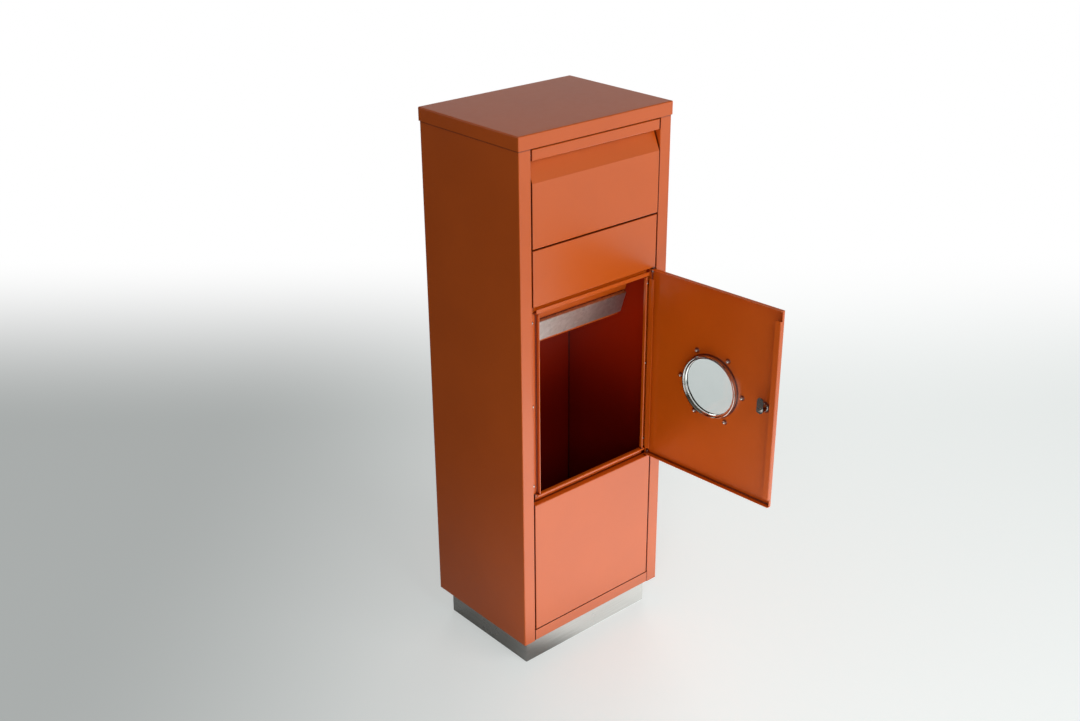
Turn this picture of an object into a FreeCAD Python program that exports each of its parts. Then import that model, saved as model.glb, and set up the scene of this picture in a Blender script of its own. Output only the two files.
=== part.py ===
import FreeCAD, Part
import math
import os

V = FreeCAD.Vector

# Sheet metal, in millimetres
SHEET = 1.5
BEND_IN = 1.0
BEND_OUT = BEND_IN + SHEET

# Body outline
BODY_W = 404.0
BODY_D = 305.0
STRIP_W = 30.0
STRIP_RETURN = 20.0
PANEL_GAP = 2.5

# Plinth
PLINTH_H = 65.0
PLINTH_INSET = 20.0
PLINTH_FLANGE = 32.0
ANCHOR_INSET = 18.0
ANCHOR_R = 5.5
BOLT_R = 4.0
BOLT_HEAD_R = 7.0
BOLT_HEAD_H = 5.0
BOLT_TAIL = 11.0

# Heights of the front, from the floor pan up
RAIL_H = 27.0
RAIL_SEAM = 1.0
LOWER_H = 313.0
DOOR_H = 441.0
FASCIA_H = 117.4
FLAP_FACE_H = 131.1
GRIP_RECESS_H = 44.0
HEADER_H = 22.5
PAN_FLANGE_H = 20.0

# Fixed front panels
FASCIA_RETURN = 13.0
HEADER_RETURN = 10.0

# Top cap
CAP_SKIRT = 28.0
CAP_CLEAR = 0.5
CAP_STUD_R = 3.0
CAP_STUD_L = 12.0
CAP_STUD_INSET = 13.0
CAP_STUD_PITCH = 180.0
TOP_FLANGE_W = 26.0
TOP_FLANGE_L = 230.0
CAP_NUT_R = 5.5
CAP_NUT_H = 5.0

# Rain gutter round the door opening
GUTTER_W = 20.0
GUTTER_D = FASCIA_RETURN + BEND_IN
LIP_SETBACK = 5.0
LIP_HEM = 7.0
HEM_NOSE_R = 1.4
JAMB_SEAT_W = 18.0
HEAD_FACE_H = 9.5
SILL_FACE_H = 4.5
RAIL_LEG = 9.0
RAIL_END = 15.0
HEAD_CHANNEL = 9.3
SILL_H = 18.5

# Rivets
RIVET_R = 2.0
RIVET_HEAD_R = 3.5
RIVET_CROWN_R = 2.1
RIVET_HEAD_H = 1.4
RIVET_TAIL_R = 3.0
RIVET_TAIL_H = 1.4
RIVET_COLLAR_R = 3.2
RIVET_EDGE = 4.0
HOLE_CLEAR = 0.1
JAMB_RIVET_END = 35.5
PANEL_RIVET_END = 30.0

# Door
DOOR_T = 12.0
DOOR_LIP = 14.0
LIP_TOP_NOTCH = 22.0
LIP_BOTTOM_NOTCH = 17.5
DOOR_OPEN_DEG = 94.0
PIN_R = 1.5
PIN_COLLAR_R = 3.0
PIN_REACH = 8.0
PIN_TAIL = 4.0
WASHER_R = 3.0
WASHER_T = 0.8
RUN_CLEAR = 0.05
FACE_CLEAR = 0.3
PIVOT_IN = BEND_OUT + PIN_R + RUN_CLEAR

# Porthole
STUD_CIRCLE_R = 81.0
STUD_COUNT = 6
STUD_R = 2.0
STUD_L = 4.5
BEZEL_R = 92.0
BEZEL_T = 3.0
BEZEL_EDGE = 1.5
TUBE_R = 69.0
TUBE_WALL = 3.0
TUBE_INSIDE = 11.0
RIM_EDGE = 0.7
CLEAR_R = 62.0
GLASS_T = 4.0
GASKET_T = 1.2
CLAMP_T = 4.0
SEAT_CLEAR = 0.3
NUT_FLATS = 7.0
NUT_H = 3.2
NUT_DOME_R = 3.1

# Cam lock
LOCK_FROM_EDGE = 30.0
LOCK_FLANGE_R = 11.0
LOCK_FLANGE_T = 2.5
LOCK_EDGE = 1.0
LOCK_BARREL_R = 8.0
PLUG_R = 5.0
PLUG_HEAD_R = 6.5
KEYWAY_W = 1.6
KEYWAY_H = 7.0
KEYWAY_D = 6.0
LOCK_NUT_FLATS = 18.0
LOCK_NUT_H = 4.0
CAM_T = 2.0
CAM_W = 16.0
CAM_REACH = 27.0
CAM_BACK_CLEAR = 1.0
CAM_SQUARE = 6.0
CAM_THREAD_R = 2.5
CAM_NUT_FLATS = 10.0
CAM_NUT_H = 4.0

# Hopper
FLAP_T = 16.0
GRIP_DEG = 23.0
GRIP_RISE = 39.0
TILT_IN = 6.5
TILT_DEG = 60.0
TILT_PIN_R = 2.5
TILT_PIN_HEAD_R = 3.8
TILT_PIN_HEAD_H = 2.0
TILT_PIN_COLLAR_R = 3.2
TILT_PIN_REACH = 3.0
FLOOR_DEG = 18.5
FLOOR_REAR_GAP = 22.5
FLOOR_SIDE_CLEAR = 10.5
FLOOR_LAP_START = 8.0
FLOOR_SETBACK = 2.0
HOPPER_RIVETS = 5
HOPPER_RIVET_PITCH = 70.0
WEIGHT_T = 8.0
WEIGHT_W = 53.0
WEIGHT_END = 12.0
WEIGHT_SIDE = 3.0
WEIGHT_EDGE = 0.8
WEIGHT_SCREW_R = 2.5
WEIGHT_SCREW_L = 5.0
WEIGHT_SCREW_HEAD_R = 4.5
WEIGHT_SCREW_HEAD_H = 2.5
WEIGHT_SCREW_PITCH = 120.0

# Stops of the hopper
STOP_D = STRIP_RETURN + BEND_IN
STOP_LEG = 14.0
STOP_H = 24.0
STOP_REACH = 18.0
STOP_BELOW_FOLD = 20.0
BUFFER_R = 5.0
STOP_RAIL_L = 240.0
STOP_RAIL_LEG = 25.0
STOP_PAD_R = 5.0
STOP_PAD_T = 4.0
STOP_PAD_PITCH = 180.0
STOP_PAD_FROM_EDGE = 5.5

# Levels and planes worked out from the sizes above
half_w = BODY_W / 2
front_y = -BODY_D / 2
back_y = BODY_D / 2
mouth_x = half_w - STRIP_W
panel_x = mouth_x - PANEL_GAP
base_z = PLINTH_H
lower_z = base_z + RAIL_H + RAIL_SEAM
ledge_z = lower_z + LOWER_H
door_z = ledge_z + PANEL_GAP
door_top_z = door_z + DOOR_H
fascia_z = door_top_z + PANEL_GAP
fascia_top_z = fascia_z + FASCIA_H
flap_z = fascia_top_z + PANEL_GAP
fold_z = flap_z + FLAP_FACE_H
header_z = fold_z + GRIP_RECESS_H
header_top_z = header_z + HEADER_H
skirt_z = header_top_z + PANEL_GAP
cap_z = skirt_z + CAP_SKIRT
shell_top_z = cap_z - SHEET
door_mid_z = door_z + DOOR_H / 2
gutter_y = front_y + GUTTER_D
jamb_seat_y = gutter_y + SHEET
rail_leg_y = gutter_y - RAIL_LEG
rail_end_x = mouth_x - RAIL_END
lip_y = front_y + LIP_SETBACK
lip_x = mouth_x - GUTTER_W
opening_x = lip_x - 2 * SHEET
sill_z = ledge_z + SILL_H
sill_low_z = sill_z - SILL_FACE_H
head_z = fascia_z - HEAD_CHANNEL
head_low_z = head_z - HEAD_FACE_H
stop_y = front_y + STOP_D
stop_leg_y = stop_y - STOP_LEG
pivot_x = panel_x - PIVOT_IN
pivot_y = front_y + PIVOT_IN
tilt_y = front_y + TILT_IN
tilt_z = flap_z + TILT_IN
TINY = 1e-6


def block(x0, x1, y0, y1, z0, z1):
    """Box between two corners."""
    return Part.makeBox(x1 - x0, y1 - y0, z1 - z0, V(x0, y0, z0))


def round_edges(shape, radius, chosen):
    """Fillets the edges whose middle passes the test."""
    return shape.makeFillet(radius, [edge for edge in shape.Edges if chosen(edge.CenterOfMass)])


def rod(radius, length, start, direction):
    """Cylinder from a point along a direction."""
    return Part.makeCylinder(radius, length, start, direction)


def hex_prism(flats, height, start, direction):
    """Hexagonal prism whose axis starts at a point, with its flats across local X."""
    corner_r = flats / math.sqrt(3)
    angles = [math.radians(60 * i + 30) for i in range(7)]
    wire = Part.makePolygon([V(corner_r * math.cos(a), corner_r * math.sin(a), 0) for a in angles])
    prism = Part.Face(wire).extrude(V(0, 0, height))
    prism.Placement = FreeCAD.Placement(start, FreeCAD.Rotation(V(0, 0, 1), direction))
    return prism


def turned(profile, start, direction):
    """Solid of revolution of (radius, height) points about an axis that starts at a point."""
    wire = Part.makePolygon([V(r, 0, h) for r, h in profile + profile[:1]])
    solid = Part.Face(wire).revolve(V(0, 0, 0), V(0, 0, 1), 360)
    solid.Placement = FreeCAD.Placement(start, FreeCAD.Rotation(V(0, 0, 1), direction))
    return solid


def unit(vector):
    """Copy of a vector at length one."""
    return V(vector).normalize()


def left_of(direction):
    """Normal to the left of a direction in the sketch plane."""
    return V(-direction.y, direction.x, 0)


def rounded_path(points, radii):
    """Edges through the points with each inner corner rounded by its own radius."""
    edges = []
    start = points[0]
    for before, corner, after, radius in zip(points, points[1:], points[2:], radii):
        into = unit(corner - before)
        out = unit(after - corner)
        half = into.getAngle(out) / 2
        first = corner - into * (radius * math.tan(half))
        last = corner + out * (radius * math.tan(half))
        middle = corner + unit(out - into) * (radius / math.cos(half) - radius)
        edges.append(Part.LineSegment(start, first).toShape())
        edges.append(Part.Arc(first, middle, last).toShape())
        start = last
    edges.append(Part.LineSegment(start, points[-1]).toShape())
    return edges


def sheet_section(path, side):
    """Face of a folded sheet: the path is one skin, the other lies to its left (1) or right (-1)."""
    skin = [V(u, v, 0) for u, v in path]
    runs = [unit(b - a) for a, b in zip(skin, skin[1:])]
    offsets = [left_of(run) * side for run in runs]
    other = [skin[0] + offsets[0] * SHEET]
    skin_radii = []
    other_radii = []
    for i in range(1, len(skin) - 1):
        joint = offsets[i - 1] + offsets[i]
        other.append(skin[i] + joint * (SHEET / (1 + offsets[i - 1].dot(offsets[i]))))
        towards_other = runs[i].dot(offsets[i - 1]) > 0
        skin_radii.append(BEND_OUT if towards_other else BEND_IN)
        other_radii.append(BEND_IN if towards_other else BEND_OUT)
    other.append(skin[-1] + offsets[-1] * SHEET)
    edges = rounded_path(skin, skin_radii)
    edges += rounded_path(other, other_radii)
    edges.append(Part.LineSegment(skin[0], other[0]).toShape())
    edges.append(Part.LineSegment(skin[-1], other[-1]).toShape())
    return Part.Face(Part.Wire(Part.__sortEdges__(edges)))


def along_z(face, z0, z1):
    """Extrudes an XY section between two heights."""
    solid = face.extrude(V(0, 0, z1 - z0))
    solid.translate(V(0, 0, z0))
    return solid


def along_x(face, x0, x1):
    """Extrudes a section drawn in (y, z) between two X planes."""
    solid = face.extrude(V(0, 0, x1 - x0))
    solid.Placement = FreeCAD.Placement(V(x0, 0, 0), FreeCAD.Rotation(V(1, 1, 1), 120))
    return solid


def outline(points):
    """Flat face through corner points in the sketch plane."""
    corners = [V(u, v, 0) for u, v in points]
    return Part.Face(Part.makePolygon(corners + corners[:1]))


def mirrored(shape):
    """The same shape on the other side of the middle plane."""
    return shape.mirror(V(0, 0, 0), V(1, 0, 0))


def front_pan(x1, z0, z1, depth):
    """Folded tray as wide as the mouth: face in front, a flange turned back along all four edges."""
    outer = block(-x1, x1, front_y, front_y + depth, z0, z1)
    outer = round_edges(outer, BEND_OUT, lambda p: abs(p.y - front_y) < TINY)
    face_y = front_y + SHEET
    hollow = block(-x1 + SHEET, x1 - SHEET, face_y, face_y + depth, z0 + SHEET, z1 - SHEET)
    hollow = round_edges(hollow, BEND_IN, lambda p: abs(p.y - face_y) < TINY)
    return outer.cut(hollow)


def drill_both(shape, radius, x0, x1, places):
    """Drills holes along X at (y, z) places, on both sides of the middle plane."""
    for y, z in places:
        hole = rod(radius, x1 - x0, V(x0, y, z), V(1, 0, 0))
        shape = shape.cut(hole).cut(mirrored(hole))
    return shape


# Places of the jambs' rivets along the middle of the side channels
jamb_rivet_x = mouth_x - GUTTER_W / 2
jamb_rivet_zs = (door_z + JAMB_RIVET_END, door_mid_z, door_top_z - JAMB_RIVET_END)

# Places of the fasteners in the corner strips' returns, as (y, z)
lower_rivet_places = [
    (front_y + FASCIA_RETURN / 2, z)
    for z in (lower_z + PANEL_RIVET_END, lower_z + LOWER_H / 2, ledge_z - PANEL_RIVET_END)
]
fascia_rivet_places = [
    (front_y + FASCIA_RETURN / 2, z)
    for z in (fascia_z + PANEL_RIVET_END, fascia_top_z - PANEL_RIVET_END)
]
header_rivet_places = [(front_y + HEADER_RETURN - RIVET_EDGE, header_z + HEADER_H / 2)]
panel_rivet_places = lower_rivet_places + fascia_rivet_places + header_rivet_places


def make_plinth():
    """Ring of folded stainless sheet with a flange turned in at its top and foot."""
    x1 = half_w - PLINTH_INSET
    y1 = back_y - PLINTH_INSET
    ring = block(-x1, x1, -y1, y1, 0, PLINTH_H)
    ring = ring.makeFillet(BEND_OUT, ring.Edges)
    inner_x = x1 - SHEET
    inner_y = y1 - SHEET
    hollow = block(-inner_x, inner_x, -inner_y, inner_y, SHEET, PLINTH_H - SHEET)
    hollow = hollow.makeFillet(BEND_IN, hollow.Edges)
    well_x = x1 - PLINTH_FLANGE
    well_y = y1 - PLINTH_FLANGE
    well = block(-well_x, well_x, -well_y, well_y, 0, PLINTH_H)
    ring = ring.cut(hollow).cut(well)
    for x, y in anchor_places():
        ring = ring.cut(rod(ANCHOR_R, SHEET, V(x, y, 0), V(0, 0, 1)))
        ring = ring.cut(rod(BOLT_R + HOLE_CLEAR, SHEET, V(x, y, PLINTH_H - SHEET), V(0, 0, 1)))
    return ring


def anchor_places():
    """The four corners of the plinth's hole pattern."""
    x = half_w - PLINTH_INSET - ANCHOR_INSET
    y = back_y - PLINTH_INSET - ANCHOR_INSET
    return [(-x, -y), (x, -y), (x, y), (-x, y)]


def on_pan_bend(point, side_x, wall_y):
    """Whether an edge of the floor pan is rounded: all round its foot, and upright at its back corners."""
    back_corner = abs(abs(point.x) - side_x) + abs(point.y - wall_y) < TINY
    return abs(point.z - base_z) < TINY or back_corner


def make_floor_pan():
    """Compartment floor: upstands at the sides and back, and the base rail in front."""
    x1 = half_w - SHEET
    y1 = back_y - SHEET
    rail_x = mouth_x - RAIL_SEAM
    outer = block(-x1, x1, front_y, y1, base_z, base_z + RAIL_H)
    outer = round_edges(outer, BEND_OUT, lambda p: on_pan_bend(p, x1, y1))
    hollow = block(-x1 + SHEET, x1 - SHEET, front_y + SHEET, y1 - SHEET, base_z + SHEET, base_z + 2 * RAIL_H)
    hollow = round_edges(hollow, BEND_IN, lambda p: abs(p.z - base_z - SHEET) < TINY)
    pan = outer.cut(hollow)
    corner_y = front_y + STRIP_RETURN + RAIL_SEAM
    corner = block(rail_x, x1, front_y, corner_y, base_z, base_z + RAIL_H)
    pan = pan.cut(corner).cut(mirrored(corner))
    upstand_z = base_z + PAN_FLANGE_H
    pan = pan.cut(block(-x1, x1, corner_y, y1, upstand_z, base_z + RAIL_H))
    for x, y in anchor_places():
        pan = pan.cut(rod(BOLT_R + HOLE_CLEAR, SHEET, V(x, y, base_z), V(0, 0, 1)))
    return pan


def make_plinth_bolts():
    """Hexagon bolts, heads inside the compartment."""
    bolts = []
    for x, y in anchor_places():
        seat = V(x, y, base_z + SHEET)
        head = hex_prism(2 * BOLT_HEAD_R, BOLT_HEAD_H, seat, V(0, 0, 1))
        bolts.append(head.fuse(rod(BOLT_R, 2 * SHEET + BOLT_TAIL, seat, V(0, 0, -1))))
    return Part.makeCompound(bolts)


def make_plinth_nuts():
    """Nuts of those bolts, under the plinth's top flange."""
    nuts = []
    for x, y in anchor_places():
        seat = V(x, y, PLINTH_H - SHEET)
        nut = hex_prism(2 * BOLT_HEAD_R, BOLT_HEAD_H, seat, V(0, 0, -1))
        nuts.append(nut.cut(rod(BOLT_R + RUN_CLEAR, BOLT_HEAD_H, seat, V(0, 0, -1))))
    return Part.makeCompound(nuts)


def make_body_shell():
    """Sides, back and front corner strips folded from one sheet, with flanges for the cap and the jambs."""
    return_y = front_y + STRIP_RETURN
    path = [
        (-mouth_x, return_y), (-mouth_x, front_y), (-half_w, front_y), (-half_w, back_y),
        (half_w, back_y), (half_w, front_y), (mouth_x, front_y), (mouth_x, return_y),
    ]
    shell = along_z(sheet_section(path, -1), base_z, shell_top_z)
    flange_x = half_w - SHEET
    flange_y = TOP_FLANGE_L / 2
    flange = block(flange_x - TOP_FLANGE_W, flange_x, -flange_y, flange_y, shell_top_z - SHEET, shell_top_z)
    shell = shell.fuse([flange, mirrored(flange)])
    for x, y in cap_stud_places():
        shell = shell.cut(rod(CAP_STUD_R + HOLE_CLEAR, SHEET, V(x, y, shell_top_z - SHEET), V(0, 0, 1)))
    bend_y = front_y + BEND_OUT
    notch = block(mouth_x, mouth_x + SHEET, bend_y, return_y, sill_z, head_low_z)
    seat_path = [(mouth_x, bend_y), (mouth_x, jamb_seat_y), (mouth_x - JAMB_SEAT_W, jamb_seat_y)]
    seat = drill_for_jamb(along_z(sheet_section(seat_path, -1), sill_z, head_low_z), jamb_seat_y)
    shell = shell.cut(notch).cut(mirrored(notch)).fuse([seat, mirrored(seat)])
    shell = drill_both(shell, RIVET_R + HOLE_CLEAR, mouth_x, mouth_x + SHEET, panel_rivet_places)
    return drill_both(shell, TILT_PIN_R + RUN_CLEAR, mouth_x, mouth_x + SHEET, [(tilt_y, tilt_z)])


def drill_for_jamb(shape, y):
    """Drills the jamb's rivet holes through a sheet whose front skin lies at a depth."""
    for z in jamb_rivet_zs:
        shape = shape.cut(rod(RIVET_R + HOLE_CLEAR, SHEET, V(jamb_rivet_x, y, z), V(0, 1, 0)))
    return shape


def cap_stud_places():
    """The four studs that hold the cap down."""
    x = half_w - SHEET - CAP_STUD_INSET
    y = CAP_STUD_PITCH / 2
    return [(-x, -y), (x, -y), (x, y), (-x, y)]


def make_top_cap():
    """Folded lid with a skirt that laps the body and studs welded underneath."""
    x1 = half_w + CAP_CLEAR + SHEET
    y1 = back_y + CAP_CLEAR + SHEET
    outer = block(-x1, x1, -y1, y1, skirt_z, cap_z)
    outer = round_edges(outer, BEND_OUT, lambda p: p.z > skirt_z + TINY)
    inner_x = x1 - SHEET
    inner_y = y1 - SHEET
    hollow = block(-inner_x, inner_x, -inner_y, inner_y, skirt_z - CAP_SKIRT, shell_top_z)
    hollow = round_edges(hollow, BEND_IN, lambda p: abs(abs(p.x) - inner_x) + abs(abs(p.y) - inner_y) < TINY)
    cap = outer.cut(hollow)
    studs = [rod(CAP_STUD_R, CAP_STUD_L, V(x, y, shell_top_z), V(0, 0, -1)) for x, y in cap_stud_places()]
    return cap.fuse(studs)


def make_cap_nuts():
    """Nuts on the cap's studs, under the shell's flanges."""
    nuts = []
    for x, y in cap_stud_places():
        seat = V(x, y, shell_top_z - SHEET)
        nut = hex_prism(2 * CAP_NUT_R, CAP_NUT_H, seat, V(0, 0, -1))
        nuts.append(nut.cut(rod(CAP_STUD_R + RUN_CLEAR, CAP_NUT_H, seat, V(0, 0, -1))))
    return Part.makeCompound(nuts)


def make_lower_panel():
    """Fixed lower front: its top flange is the ledge below the door and carries the lower pin."""
    pan = front_pan(panel_x, lower_z, ledge_z, FASCIA_RETURN)
    pan = drill_both(pan, RIVET_R + HOLE_CLEAR, panel_x - SHEET, panel_x, lower_rivet_places)
    return pan.cut(rod(PIN_R + RUN_CLEAR, SHEET, V(pivot_x, pivot_y, ledge_z), V(0, 0, -1)))


def make_mid_fascia():
    """Fixed panel between flap and door: its lower flange carries the upper pin."""
    pan = front_pan(panel_x, fascia_z, fascia_top_z, FASCIA_RETURN)
    pan = drill_both(pan, RIVET_R + HOLE_CLEAR, panel_x - SHEET, panel_x, fascia_rivet_places)
    return pan.cut(rod(PIN_R + RUN_CLEAR, SHEET, V(pivot_x, pivot_y, fascia_z), V(0, 0, 1)))


def make_header_fascia():
    """Narrow fixed strip under the cap."""
    pan = front_pan(panel_x, header_z, header_top_z, HEADER_RETURN)
    return drill_both(pan, RIVET_R + HOLE_CLEAR, panel_x - SHEET, panel_x, header_rivet_places)


# Rivet through two lapped sheets, as (radius, height) from its head's seat
lap = 2 * SHEET
lap_rivet_profile = [
    (0, -RIVET_HEAD_H), (RIVET_CROWN_R, -RIVET_HEAD_H), (RIVET_HEAD_R, 0), (RIVET_R, 0),
    (RIVET_R, lap), (RIVET_TAIL_R, lap), (RIVET_TAIL_R, lap + RIVET_TAIL_H), (0, lap + RIVET_TAIL_H),
]


def side_rivet(profile, x, y, z):
    """A rivet and its mirror image, their axes along X and their heads towards the middle."""
    rivet = turned(profile, V(x, y, z), V(1, 0, 0))
    return [rivet, mirrored(rivet)]


def make_panel_rivets():
    """Collared rivets that space the fixed panels from the strips' returns."""
    flange = SHEET
    gap = flange + PANEL_GAP
    far = gap + SHEET
    profile = [
        (0, -RIVET_HEAD_H), (RIVET_CROWN_R, -RIVET_HEAD_H), (RIVET_HEAD_R, 0), (RIVET_R, 0),
        (RIVET_R, flange), (RIVET_COLLAR_R, flange), (RIVET_COLLAR_R, gap), (RIVET_R, gap),
        (RIVET_R, far), (RIVET_TAIL_R, far), (RIVET_TAIL_R, far + RIVET_TAIL_H), (0, far + RIVET_TAIL_H),
    ]
    rivets = []
    for y, z in panel_rivet_places:
        rivets += side_rivet(profile, panel_x - SHEET, y, z)
    return Part.makeCompound(rivets)


def make_jamb_rivets():
    """Rivets through the side channels' floors and the shell's seats behind them."""
    rivets = []
    for z in jamb_rivet_zs:
        rivet = turned(lap_rivet_profile, V(jamb_rivet_x, gutter_y, z), V(0, 1, 0))
        rivets += [rivet, mirrored(rivet)]
    return Part.makeCompound(rivets)


def make_frame_jamb():
    """Right jamb: channel floor on the shell's seat, and a hemmed lip turned to the front."""
    hem_y = lip_y + LIP_HEM
    path = [(lip_x, hem_y), (lip_x, gutter_y), (mouth_x - BEND_IN, gutter_y)]
    jamb = along_z(sheet_section(path, 1), sill_z, head_low_z)
    hem = block(opening_x, lip_x, lip_y, hem_y, sill_z, head_low_z)
    middle_z = (sill_z + head_low_z) / 2
    hem = round_edges(hem, HEM_NOSE_R, lambda p: abs(p.y - lip_y) + abs(p.z - middle_z) < TINY)
    return drill_for_jamb(jamb.fuse(hem), gutter_y)


def make_frame_rail(path, side):
    """Head or sill of the gutter, from its (y, z) section."""
    return along_x(sheet_section(path, side), -rail_end_x, rail_end_x)


def make_frame_head():
    """Gutter under the fascia: leg on the fascia's flange, wall, trough floor, and a face turned up."""
    leg_z = fascia_z + 2 * SHEET
    back = gutter_y + SHEET
    path = [(lip_y, head_z), (lip_y, head_low_z), (back, head_low_z), (back, leg_z), (rail_leg_y, leg_z)]
    return make_frame_rail(path, 1)


def make_frame_sill():
    """Upstand behind the ledge: leg under the panel's flange, wall, and a lip turned to the front."""
    leg_z = ledge_z - 2 * SHEET
    back = gutter_y + SHEET
    path = [(lip_y, sill_low_z), (lip_y, sill_z), (back, sill_z), (back, leg_z), (rail_leg_y, leg_z)]
    return make_frame_rail(path, -1)


def make_door_pin(seat_z, inward):
    """Shoulder pin: tail through the panel's flange, collar in the gap, and the pivot."""
    collar = PANEL_GAP - WASHER_T - FACE_CLEAR
    reach = PANEL_GAP + PIN_REACH
    tail = SHEET + PIN_TAIL
    profile = [
        (0, -tail), (PIN_R, -tail), (PIN_R, 0), (PIN_COLLAR_R, 0), (PIN_COLLAR_R, collar),
        (PIN_R, collar), (PIN_R, reach), (0, reach),
    ]
    return turned(profile, V(pivot_x, pivot_y, seat_z), V(0, 0, inward))


def make_door_washer(flange_z, outward):
    """Plastic thrust washer between the door's flange and the pin's collar."""
    seat = V(pivot_x, pivot_y, flange_z)
    washer = rod(WASHER_R, WASHER_T, seat, V(0, 0, outward))
    return washer.cut(rod(PIN_R + RUN_CLEAR, WASHER_T, seat, V(0, 0, outward)))


def on_bend(point, face_y, lip_y_plane, side_x):
    """Whether an edge of the door is bent: all round its face, and upright where a lip turns in."""
    upright_lip = abs(point.y - lip_y_plane) < TINY and abs(abs(point.x) - side_x) < TINY
    return abs(point.y - face_y) < TINY or upright_lip


def make_door_panel():
    """Folded door: flanges on four edges, and a lip turned in along both upright ones."""
    back = front_y + DOOR_T
    outer = block(-panel_x, panel_x, front_y, back, door_z, door_top_z)
    outer = round_edges(outer, BEND_OUT, lambda p: on_bend(p, front_y, back, panel_x))
    inner_x = panel_x - SHEET
    inner_z0 = door_z + SHEET
    inner_z1 = door_top_z - SHEET
    face_y = front_y + SHEET
    lip_back = back - SHEET
    hollow = block(-inner_x, inner_x, face_y, lip_back, inner_z0, inner_z1)
    hollow = round_edges(hollow, BEND_IN, lambda p: on_bend(p, face_y, lip_back, inner_x))
    lip_x = panel_x - DOOR_LIP
    door = outer.cut(hollow)
    door = door.cut(block(-lip_x, lip_x, lip_back - BEND_IN, back, inner_z0, inner_z1))
    for z0, z1 in ((inner_z0, door_z + LIP_BOTTOM_NOTCH), (door_top_z - LIP_TOP_NOTCH, inner_z1)):
        door = door.cut(block(-panel_x, panel_x, lip_back - BEND_OUT, back, z0, z1))
    door = door.cut(rod(TUBE_R + SEAT_CLEAR, SHEET, V(0, front_y, door_mid_z), V(0, 1, 0)))
    for x, z in stud_places():
        door = door.cut(rod(STUD_R + HOLE_CLEAR, SHEET, V(x, front_y, z), V(0, 1, 0)))
    door = door.cut(rod(LOCK_BARREL_R + HOLE_CLEAR, SHEET, V(lock_x, front_y, door_mid_z), V(0, 1, 0)))
    for z in (door_z, door_top_z - SHEET):
        door = door.cut(rod(PIN_R + RUN_CLEAR, SHEET, V(pivot_x, pivot_y, z), V(0, 0, 1)))
    return door


def stud_places():
    """The bezel's studs, two of them level with the middle of the glass."""
    angles = [2 * math.pi * i / STUD_COUNT for i in range(STUD_COUNT)]
    return [(STUD_CIRCLE_R * math.cos(a), door_mid_z + STUD_CIRCLE_R * math.sin(a)) for a in angles]


# Depths of the porthole's layers behind the door's outer face
lock_x = -panel_x + LOCK_FROM_EDGE
tube_end = SHEET + TUBE_INSIDE
glass_front = GASKET_T
glass_back = glass_front + GLASS_T
seat_r = TUBE_R - TUBE_WALL - SEAT_CLEAR


def porthole_ring(profile):
    """Ring of (radius, depth) points about the porthole's axis."""
    return turned(profile, V(0, front_y, door_mid_z), V(0, 1, 0))


def make_porthole_bezel():
    """Outer flange, tube through the door and welded studs."""
    tube_in = TUBE_R - TUBE_WALL
    bezel = porthole_ring([
        (CLEAR_R, -BEZEL_T + BEZEL_EDGE), (CLEAR_R + BEZEL_EDGE, -BEZEL_T), (BEZEL_R - BEZEL_EDGE, -BEZEL_T),
        (BEZEL_R, -BEZEL_T + BEZEL_EDGE), (BEZEL_R, 0), (TUBE_R, 0), (TUBE_R, tube_end - RIM_EDGE),
        (TUBE_R - RIM_EDGE, tube_end), (tube_in + RIM_EDGE, tube_end), (tube_in, tube_end - RIM_EDGE),
        (tube_in, 0), (CLEAR_R, 0),
    ])
    studs = [rod(STUD_R, SHEET + STUD_L, V(x, front_y, z), V(0, 1, 0)) for x, z in stud_places()]
    return bezel.fuse(studs)


def make_porthole_gasket():
    """Flat seal between the bezel's lip and the glass."""
    return porthole_ring([(CLEAR_R, 0), (seat_r, 0), (seat_r, GASKET_T), (CLEAR_R, GASKET_T)])


def make_porthole_glass():
    """Clear disc."""
    return rod(seat_r, GLASS_T, V(0, front_y + glass_front, door_mid_z), V(0, 1, 0))


def make_porthole_clamp_ring():
    """Ring pressed into the tube behind the glass."""
    end = glass_back + CLAMP_T
    return porthole_ring([
        (CLEAR_R, glass_back), (seat_r, glass_back), (seat_r, end - RIM_EDGE), (seat_r - RIM_EDGE, end),
        (CLEAR_R + RIM_EDGE, end), (CLEAR_R, end - RIM_EDGE),
    ])


def make_porthole_cap_nuts():
    """Domed nuts on the bezel's studs, inside the door."""
    nuts = []
    for x, z in stud_places():
        seat = V(x, front_y + SHEET, z)
        nut = hex_prism(NUT_FLATS, NUT_H, seat, V(0, 1, 0))
        dome = Part.makeSphere(NUT_DOME_R, V(x, front_y + SHEET + NUT_H, z))
        nuts.append(nut.fuse(dome).cut(rod(STUD_R + RUN_CLEAR, STUD_L + RUN_CLEAR, seat, V(0, 1, 0))))
    return Part.makeCompound(nuts)


# Depths of the lock's layers behind the door's outer face
cam_depth = GUTTER_D + lap + RIVET_TAIL_H + CAM_BACK_CLEAR


def lock_axis(depth):
    """Point on the lock's axis at a depth behind the door's outer face."""
    return V(lock_x, front_y + depth, door_mid_z)


def make_lock_barrel():
    """Housing with its outer flange and the bore of the plug."""
    bore_r = PLUG_R + RUN_CLEAR
    head_r = PLUG_HEAD_R + RUN_CLEAR
    barrel_end = cam_depth - FACE_CLEAR
    return turned([
        (bore_r, 0), (head_r, 0), (head_r, -LOCK_FLANGE_T), (LOCK_FLANGE_R - LOCK_EDGE, -LOCK_FLANGE_T),
        (LOCK_FLANGE_R, -LOCK_FLANGE_T + LOCK_EDGE), (LOCK_FLANGE_R, 0), (LOCK_BARREL_R, 0),
        (LOCK_BARREL_R, barrel_end), (bore_r, barrel_end),
    ], lock_axis(0), V(0, 1, 0))


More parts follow.
